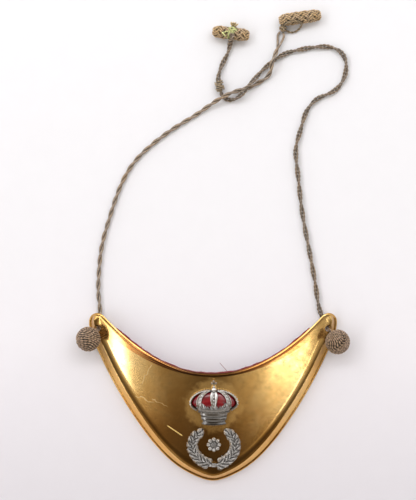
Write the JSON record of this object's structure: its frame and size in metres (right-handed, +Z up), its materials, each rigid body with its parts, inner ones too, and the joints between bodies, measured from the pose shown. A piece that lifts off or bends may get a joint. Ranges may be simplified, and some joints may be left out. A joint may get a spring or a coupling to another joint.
{
  "type": "gorget",
  "caption": "Crescent-shaped officer's neck gorget of gilt brass with a silver crown and laurel wreath, thread-wound ball buttons and neck cords that end in braided toggles.",
  "frame": {"origin": "on the surface that the gorget lies on, under the middle of the plate and its balls", "axes": "+Z up out of the plate's front, +Y from the bottom tip through the neck notch towards the toggles, +X towards the right horn as seen from the front"},
  "size_m": [0.1552, 0.2661, 0.0191],
  "materials": {
    "gilt_brass": "polished gilt, mottled with age",
    "oxidised_silver": "cast, bright on its high points and dark in its recesses",
    "red_enamel": "glossy",
    "lining_cloth": "matt",
    "metallic_thread": "twisted metallic thread, dulled",
    "yellow_thread": "soft thread"
  },
  "bodies": {
    "root": {"gorget_plate": "gilt_brass", "lining": "lining_cloth", "crown_frame": "oxidised_silver", "crown_enamel": "red_enamel", "wreath": "oxidised_silver", "rosette": "oxidised_silver", "ball_left": "metallic_thread", "ball_right": "metallic_thread", "neck_cord_left": "metallic_thread", "neck_cord_right": "metallic_thread", "slide_knot": "metallic_thread", "toggle_left": "metallic_thread", "toggle_right": "metallic_thread", "lashing_left": "yellow_thread", "lashing_right": "metallic_thread"}
  },
  "joints": []
}
